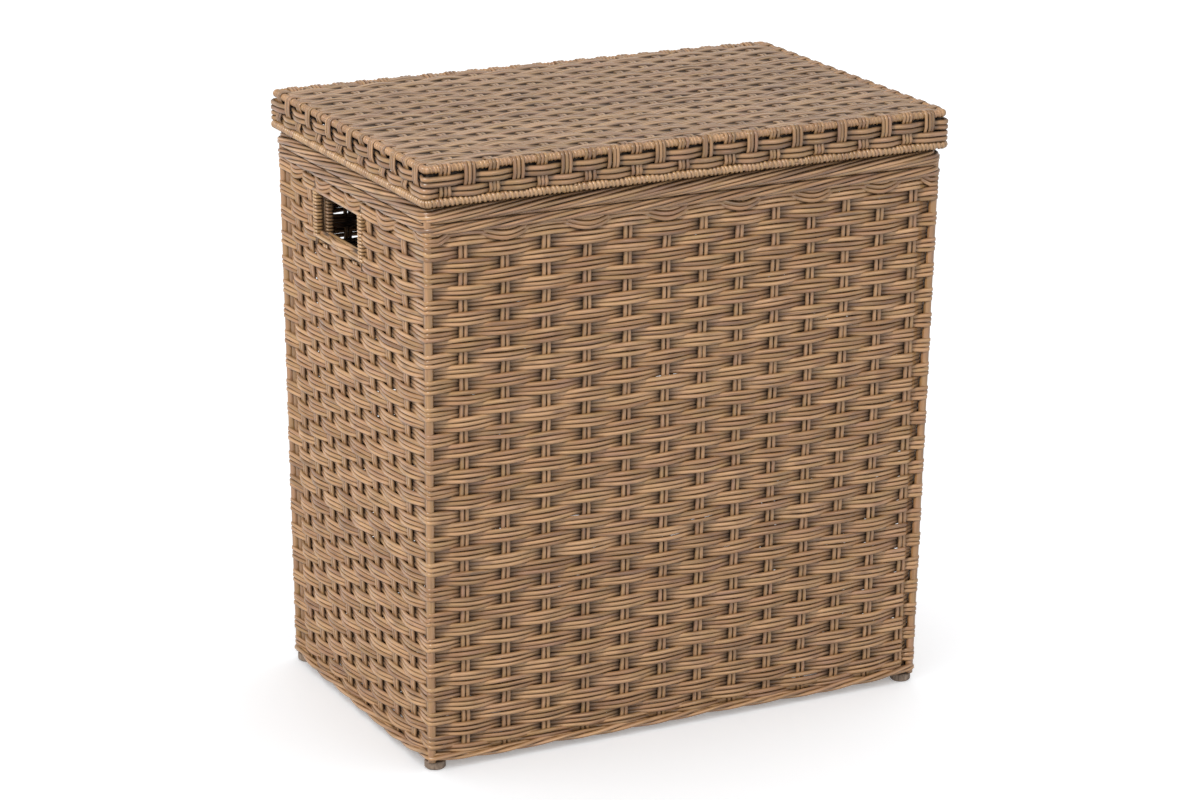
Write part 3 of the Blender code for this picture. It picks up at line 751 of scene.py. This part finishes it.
def make_base_rope():
    """Three strands twisted round the foot of the walls."""
    strands = Strands("base_border_strands", 320)
    turns = round(side_lengths(body_half, ROPE_LEVEL).sum() / ROPE_TURN)
    share, side, along = body_ring(ROPE_LEVEL, ROPE_SAMPLES)
    for number in range(3):
        angle = 2 * math.pi * (turns * share + number / 3)
        height = ROPE_HEIGHT + sway(side, along, ROPE_LEVEL) + ROPE_RADIUS * np.cos(angle)
        line = place(side, along, ROPE_INSET + ROPE_RADIUS * np.sin(angle), height)
        strands.add(line, ROPE_STRAND, UP, closed=True)
    strands.build(BORDER, "basket", ["base_border_" + side for side in SIDES])


# ---- flat panels: the base and the lid's top ----
def add_panel_rods(strands, half_y, z, stakes, rows):
    """A flat panel's stakes: paired rods along Y, which wave between the rows."""
    pitch = rows[1] - rows[0]
    apart = FLAT_ROD_WIDTH + FLAT_ROD_GAP
    y = np.arange(-half_y, half_y + 0.001, pitch / 4)
    for number, x in enumerate(stakes):
        wave = FLAT_WAVE * np.cos(np.pi * (number + (y - rows[0]) / pitch))
        for shift in (-apart, apart):
            line = np.column_stack([np.full_like(y, x + shift), y, z - wave])
            # the rods carry a little painted shade
            strands.add(line, FLAT_ROD, UP, FLAT_ROD_WIDTH, flat=True, deep=0.15)


def add_panel_row(strands, half_x, row, z, stakes, up, steps):
    """One row of a flat panel: strands along X, over or under each stake."""
    knots = np.concatenate([[-half_x], stakes, [half_x]])
    spans = [np.linspace(a, b, steps, endpoint=False) for a, b in zip(knots[:-1], knots[1:])]
    x = np.concatenate([*spans, [half_x]])
    swing = smooth_between(knots, np.concatenate([[0.0], up, [0.0]]), x)
    for number in range(ROW_STRANDS):
        wander = smooth_between(knots, strands.random.normal(0, FLAT_WANDER, len(knots)), x)
        lift = smooth_between(knots, strands.random.normal(0, FLAT_LIFT, len(knots)), x)
        y = row + (number - (ROW_STRANDS - 1) / 2) * (FLAT_APART + FLAT_SPREAD * swing) + wander
        height = z + swing * (FLAT_ROD + FLAT_STRAND - FLAT_WAVE) + lift
        width = FLAT_WIDTH * strands.random.uniform(0.95, 1.03)
        line = np.column_stack([x, y, height])
        # painted shade where a strand dips under a rod, and strong painted shade between strands
        deep = 0.4 * np.maximum(-swing, 0)
        strands.add(line, FLAT_STRAND, UP, width, crease=0.85, flat=True, deep=deep)


def weave_panel(strands, half_x, half_y, z, stakes, rows, steps):
    """A flat plain weave of paired rods and rows of strands."""
    add_panel_rods(strands, half_y, z, stakes, rows)
    for index, row in enumerate(rows):
        up = np.where((np.arange(len(stakes)) + index) % 2 == 0, 1.0, -1.0)
        add_panel_row(strands, half_x, row, z, stakes, up, steps)


def back_panel(strands, half_x, z, rows):
    """Thin strands in the gaps between a flat panel's rows, which keep the light out and are painted in
    full shade.
    """
    x = np.arange(-half_x, half_x, BACKING_STEP)
    for gap in (rows[:-1] + rows[1:]) / 2:
        line = np.column_stack([x, np.full_like(x, gap), np.full_like(x, z - BACKING_DROP)])
        # painted in full shade
        strands.add(line, BACKING[0], UP, BACKING[1], flat=True, deep=1.0)


def make_base_panel():
    low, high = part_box("base_panel")
    strands = Strands("base_panel_weave", 340, sides=5)
    stakes = np.linspace(low.x + 0.03, high.x - 0.03, BASE_STAKES)
    rows = np.arange(low.y + 0.0075, high.y - 0.006, BASE_ROW_PITCH)
    z = (low.z + high.z) / 2 + 0.001
    weave_panel(strands, high.x + 0.002, high.y + 0.002, z, stakes, rows, steps=6)
    strands.build(WALL, "basket", ["base_panel"])


def make_lid_top():
    strands = Strands("lid_top_strands", 440)
    half_x, half_y = LID_HALF[0] - HOOP_INSET - 0.004, LID_HALF[1] - HOOP_INSET - 0.002
    stakes = (np.arange(LID_STAKES) - (LID_STAKES - 1) // 2) * LID_STAKE_PITCH
    rows = (np.arange(LID_ROWS) - (LID_ROWS - 1) / 2) * LID_ROW_PITCH
    weave_panel(strands, half_x, half_y, LID_MIDDLE, stakes, rows, steps=8)
    back_panel(strands, half_x, LID_MIDDLE, rows)
    strands.build(LID, "lid", ["lid_top_weave"])


# ---- hand holes ----
def wrap_line(side, along, low, high, outer, inner, points=18):
    """A strand wound round the upright edge of a hand hole, on a section with rounded corners."""
    share = np.arange(0, (high - low) / WRAP_PITCH, 1 / points)
    angle = 2 * math.pi * share
    in_out = np.sign(np.cos(angle)) * np.abs(np.cos(angle)) ** 0.45
    sideways = np.sign(np.sin(angle)) * np.abs(np.sin(angle)) ** 0.8
    inset = (inner + outer) / 2 + (inner - outer) / 2 * in_out
    return place(side, along + WRAP_WIDTH * sideways, inset, low + WRAP_PITCH * share)


def add_wrapped_edge(strands, side, edge, heading):
    """Two wrapped rods up one edge of a hand hole, one behind the other, with their cores."""
    bottom, top = HOLE_Z[0] - WRAP_OVERLAP, HOLE_Z[1] + WRAP_OVERLAP
    middle = edge + heading * WRAP_MIDDLE
    # the inner wrap is painted darker, as shade inside the hole
    for outer, inner, tone, deep in WRAPS:
        line = wrap_line(side, middle, bottom, top, outer, inner)
        strands.add(line, WRAP_STRAND, UP, tone=tone, deep=deep)
    z = np.arange(bottom - CORE_OVERLAP, top + CORE_OVERLAP, CORE_STEP)
    # the cores are painted darker, as shade: a low tone and a deep share
    for inset in CORE_INSETS:
        core = place(side, middle + heading * CORE_SHIFT, inset, z)
        strands.add(core, CORE_RADIUS, (*NORMALS[side], 0), tone=0.3, deep=0.5)


def make_hand_hole(side, name):
    """A hand hole bound up both edges, with rods across under and over it."""
    strands = Strands("handle_wrap_" + name, 360 + side)
    low, high = HOLE_ALONG[side]
    add_wrapped_edge(strands, side, low, -1)
    add_wrapped_edge(strands, side, high, 1)
    along = np.linspace(low - BAR_OVERLAP, high + BAR_OVERLAP, 18)
    for z in (HOLE_Z[0] - BAR_GAP, HOLE_Z[1] + BAR_GAP):
        for inset in BAR_INSETS:
            level = z + strands.random.normal(0, 0.0002)
            strands.add(place(side, along, inset, level), BAR_RADIUS, UP)
    strands.build(BIND, "basket", ["handle_binding_" + name])


# ---- hinge loops ----
def hinge_section():
    """Points (y, z) once round the back rail and the lid's low hoop: half of each, in turn."""
    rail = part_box("top_rail_back")
    rail_middle = ((rail[0].y + rail[1].y) / 2, (rail[0].z + rail[1].z) / 2)
    rail_radius = (rail[1].z - rail[0].z) / 2 + HINGE_STRAND
    hoop_middle = (LID_HALF[1] - LOW_HOOP_INSET, LOW_HOOP_HEIGHT)
    hoop_radius = LOW_HOOP_INSET + HINGE_STRAND
    heading = math.atan2(hoop_middle[1] - rail_middle[1], hoop_middle[0] - rail_middle[0])
    points = []
    for (y, z), radius, quarter in ((hoop_middle, hoop_radius, -1), (rail_middle, rail_radius, 1)):
        for angle in heading + quarter * math.pi / 2 + np.linspace(0, math.pi, HALF_LOOP_POINTS):
            points.append((y + radius * math.cos(angle), z + radius * math.sin(angle)))
    return np.array(points)


def make_hinge_loops():
    """Turns of strand round the back rail and the lid's low hoop."""
    section = hinge_section()
    count = HINGE_TURNS * len(section)
    for name in ("left", "right"):
        low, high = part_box("hinge_loop_" + name)
        strands = Strands("hinge_turns_" + name, 380)
        run = high.x - low.x - 2 * HINGE_STRAND
        x = low.x + HINGE_STRAND + run * np.arange(count) / (count - 1)
        line = np.column_stack([x, np.tile(section, (HINGE_TURNS, 1))])
        strands.add(line, HINGE_STRAND, (1, 0, 0), tone=0.7)
        strands.build(BIND, "basket", ["hinge_loop_" + name])


# ---- lid: hoops and edge ----
def lid_ring(inset, z):
    """Points all round the lid at one inset and height."""
    lengths = side_lengths(lid_half, z)
    distance = np.arange(0, lengths.sum(), RING_STEP) + SEAM * lengths.sum()
    side, along = side_of(distance, lengths)
    return place(side, along, inset, z, lid_half, LID_BEND)


def add_coil(strands, inset, z, pitch, radius, reach, points=10):
    """A strand coiled closely round a hoop, in lengths that each have a tone."""
    lengths = side_lengths(lid_half, z)
    turns = int(lengths.sum() / pitch)
    share = np.arange(turns * points) / points
    uneven = 0.14 * np.sin(share * 0.9) + 0.10 * np.sin(share * 2.3)
    distance = (share + uneven) * lengths.sum() / turns
    side, along = side_of(distance, lengths)
    angle = 2 * math.pi * share
    line = place(side, along, inset + reach * np.cos(angle), z + reach * np.sin(angle), lid_half, LID_BEND)
    ahead = place(*side_of(distance + 0.001, lengths), inset, z, lid_half, LID_BEND)
    behind = place(*side_of(distance - 0.001, lengths), inset, z, lid_half, LID_BEND)
    axis = unit(ahead - behind)
    for length in np.array_split(np.arange(len(line)), COIL_TONES):
        joined = np.append(length, (length[-1] + 1) % len(line))
        strands.add(line[joined], radius, axis[joined])


def make_hoops():
    """The lid's two hoops, both coiled with strand."""
    high = Strands("lid_rim_pole", 400, sides=12)
    ring = lid_ring(HOOP_INSET, HOOP_HEIGHT)
    high.add(ring, HOOP_RADIUS - 0.0006, UP, closed=True, tone=0.6, crease=0.1)
    add_coil(high, HOOP_INSET, HOOP_HEIGHT, HOOP_COIL_PITCH, HOOP_COIL, HOOP_RADIUS - HOOP_COIL)
    high.build(STAKE, "lid", ["lid_high_hoop"])
    low = Strands("lid_foot_coil", 410)
    low.add(lid_ring(LOW_HOOP_INSET, LOW_HOOP_HEIGHT), LOW_HOOP_CORE, UP, closed=True)
    add_coil(low, LOW_HOOP_INSET, LOW_HOOP_HEIGHT, LOW_COIL_PITCH, LOW_HOOP_COIL, LOW_COIL_REACH)
    low.build(BIND, "lid", ["lid_low_hoop"])


def group_places(side):
    """Middles of the upright groups along a side of the lid."""
    half, pitch = (LID_HALF[0], GROUP_PITCH) if side % 2 == 0 else (LID_HALF[1], 2 * LID_ROW_PITCH)
    count = int(2 * (half - GROUP_MARGIN) / pitch)
    return (np.arange(count) - (count - 1) / 2) * pitch


def upright_section(first_over):
    """(inset, height) of an upright from under the top weave, over the hoop and down to the foot."""
    points = [(0.030, 0.5925), (0.022, 0.5945), (0.0145, 0.5982)]
    for angle in map(math.radians, (100, 70, 40, 10)):
        inset = HOOP_INSET - UPRIGHT_REACH * math.cos(angle)
        points.append((inset, HOOP_HEIGHT + UPRIGHT_REACH * math.sin(angle)))
    lower, upper = SKIRT_ROWS
    first, second = (UPRIGHT_OVER, UPRIGHT_UNDER) if first_over else (UPRIGHT_UNDER, UPRIGHT_OVER)
    return np.array([*points, (first, upper), (second, lower), (0.0052, 0.5690), (0.0094, 0.5672)])


def refine(points):
    """A smoother line through the points, with one more between each two, by Catmull-Rom."""
    padded = np.vstack([2 * points[0] - points[1], points, 2 * points[-1] - points[-2]])
    merged = np.empty((len(points) * 2 - 1, points.shape[1]))
    merged[::2] = points
    merged[1::2] = (-padded[:-3] + 9 * padded[1:-2] + 9 * padded[2:-1] - padded[3:]) / 16
    return merged


def make_uprights():
    """Groups of uprights that cross the lid's edge, over and under its two rows."""
    strands = Strands("lid_edge_uprights", 420)
    for side in range(4):
        for number, middle in enumerate(group_places(side)):
            inset, z = refine(upright_section(number % 2 == 1)).T
            for member in range(UPRIGHTS):
                shift = (member - (UPRIGHTS - 1) / 2) * UPRIGHT_APART
                along = middle + shift + strands.random.normal(0, 0.0002)
                drift = np.linspace(0, strands.random.normal(0, 0.0005), len(z))
                line = place(side, along + drift, inset, z, lid_half, LID_BEND)
                strands.add(line, UPRIGHT_WIDTH, (*RUNS[side], 0), UPRIGHT_DEPTH, tip=0.7)
    strands.build(EDGE, "lid", ["lid_skirt_" + name for name in SIDES])


def skirt_samples(row):
    """Round the lid's edge: each place's side, distance along it and inset."""
    parts = []
    for side in range(4):
        half = LID_HALF[side % 2]
        middles = group_places(side)
        outside = (np.arange(len(middles)) + row) % 2 == 1
        knots = np.concatenate([[-half], middles, [half]])
        insets = np.concatenate([[SKIRT_OVER], np.where(outside, SKIRT_OVER, SKIRT_UNDER), [SKIRT_OVER]])
        spans = [np.linspace(a, b, KNOT_STEPS, endpoint=False) for a, b in zip(knots[:-1], knots[1:])]
        along = np.concatenate(spans)
        parts.append((np.full(len(along), side), along, smooth_between(knots, insets, along)))
    return from_back(*map(np.concatenate, zip(*parts)))


def make_skirt_rows():
    """Two rows of strands round the lid's edge, and plain strands inside that close its gaps."""
    strands = Strands("lid_edge_rows", 430)
    for row, z in enumerate(SKIRT_ROWS):
        side, along, inset = skirt_samples(row)
        # painted shade where a row passes inside the uprights, and between its strands
        deep = 0.6 * np.clip((inset - SKIRT_HIDDEN) / (SKIRT_UNDER - SKIRT_HIDDEN), 0, 1)
        wave = 0.0002 * np.sin(along * 60 + side)
        for shift in (-SKIRT_APART / 2, SKIRT_APART / 2):
            line = place(side, along, inset, z + shift + wave, lid_half, LID_BEND)
            strands.add(line, SKIRT_STRAND, UP, SKIRT_DEPTH, closed=True, deep=deep, crease=0.8)
    # the inside strands are painted in full shade
    for z in SKIRT_FILLERS:
        strands.add(lid_ring(FILLER_INSET, z), FILLER_STRAND, UP, FILLER_DEPTH, closed=True, deep=1.0)
    strands.build(EDGE, "lid", ["lid_skirt_" + name for name in SIDES])


# ---- carried-over CAD nodes ----
def cad_finish(name):
    """The material of a carried-over CAD node, or None for a node that strands replace."""
    if name.startswith("foot_screw"):
        return STEEL
    if name.startswith("foot"):
        return FOOT
    if "crossbar" in name:
        return POLES[1]
    if "rail" in name:
        return POLES[0] if name.endswith(("front", "back")) else POLES[1]
    return None


def finish_cad_nodes():
    for name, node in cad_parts.items():
        material = cad_finish(name)
        if material:
            for slot in node.material_slots:
                slot.material = material


# ---- studio ----
def make_floor():
    """A wide sheet of pale paper, bright enough to meet the white background."""
    mesh = bpy.data.meshes.new("studio_floor")
    corners = [(FLOOR_SIZE * x, FLOOR_SIZE * y, 0) for x, y in ((-1, -1), (1, -1), (1, 1), (-1, 1))]
    mesh.from_pydata(corners, [], [(0, 1, 2, 3)])
    n = Nodes("studio_paper")
    n.shader.inputs["Base Color"].default_value = (*PAPER, 1)
    n.shader.inputs["Roughness"].default_value = 0.9
    n.shader.inputs["Specular IOR Level"].default_value = 0.1
    n.shader.inputs["Emission Color"].default_value = (1, 1, 1, 1)
    n.shader.inputs["Emission Strength"].default_value = 0.26
    mesh.materials.append(n.material)
    floor = bpy.data.objects.new("studio_floor", mesh)
    bpy.context.scene.collection.objects.link(floor)
    return floor


def soft_light(name, location, size, power, colour):
    data = bpy.data.lights.new(name, "AREA")
    data.shape = "RECTANGLE"
    data.size = data.size_y = size
    data.energy = power
    data.color = colour
    light = bpy.data.objects.new(name, data)
    light.location = location
    light.rotation_euler = (LIGHT_AIM - Vector(location)).to_track_quat("-Z", "Y").to_euler()
    bpy.context.scene.collection.objects.link(light)
    return light


def spare_floor(light, floor):
    """Keep a light off the paper, so that only a soft contact shadow is left there."""
    flagged = bpy.data.collections.new("flagged_" + light.name)
    flagged.objects.link(floor)
    flagged.collection_objects[0].light_linking.link_state = "EXCLUDE"
    light.light_linking.receiver_collection = flagged


def make_lights(floor):
    world = bpy.data.worlds.new("studio")
    world.use_nodes = True
    background = world.node_tree.nodes["Background"]
    background.inputs["Color"].default_value = (1, 1, 1, 1)
    background.inputs["Strength"].default_value = 1.0
    bpy.context.scene.world = world
    key = soft_light("key", (-2.80, -1.32, 2.90), size=1.0, power=192, colour=(1, 0.97, 0.93))
    fill = soft_light("fill", (1.10, -3.60, 1.60), size=1.6, power=21, colour=(1, 0.98, 0.95))
    for light in (key, fill):
        spare_floor(light, floor)


def camera_turn():
    """(backwards direction, rotation) of the camera, from its azimuth, elevation and roll."""
    azimuth, elevation, roll = map(math.radians, (CAMERA_AZIMUTH, CAMERA_ELEVATION, CAMERA_ROLL))
    flat = math.cos(elevation)
    back = Vector((math.sin(azimuth) * flat, -math.cos(azimuth) * flat, math.sin(elevation)))
    right = Vector((0, 0, 1)).cross(back).normalized()
    up = back.cross(right)
    rolled_right = math.cos(roll) * right + math.sin(roll) * up
    rolled_up = -math.sin(roll) * right + math.cos(roll) * up
    return back, Matrix((rolled_right, rolled_up, back)).transposed().to_4x4()


def make_camera():
    data = bpy.data.cameras.new("camera")
    data.sensor_fit, data.sensor_width, data.lens = "HORIZONTAL", SENSOR, LENS
    data.clip_end = 60
    camera = bpy.data.objects.new("camera", data)
    back, turn = camera_turn()
    camera.matrix_world = Matrix.Translation(CAMERA_TARGET + back * CAMERA_DISTANCE) @ turn
    bpy.context.scene.collection.objects.link(camera)
    bpy.context.scene.camera = camera
    bpy.context.scene.view_settings.view_transform = "Standard"


make_walls()
make_stakes()
make_corner_posts()
make_rim()
make_base_rope()
make_base_panel()
make_hand_hole(3, "left")
make_hand_hole(1, "right")
make_hinge_loops()
make_hoops()
make_uprights()
make_skirt_rows()
make_lid_top()
finish_cad_nodes()
make_lights(make_floor())
make_camera()
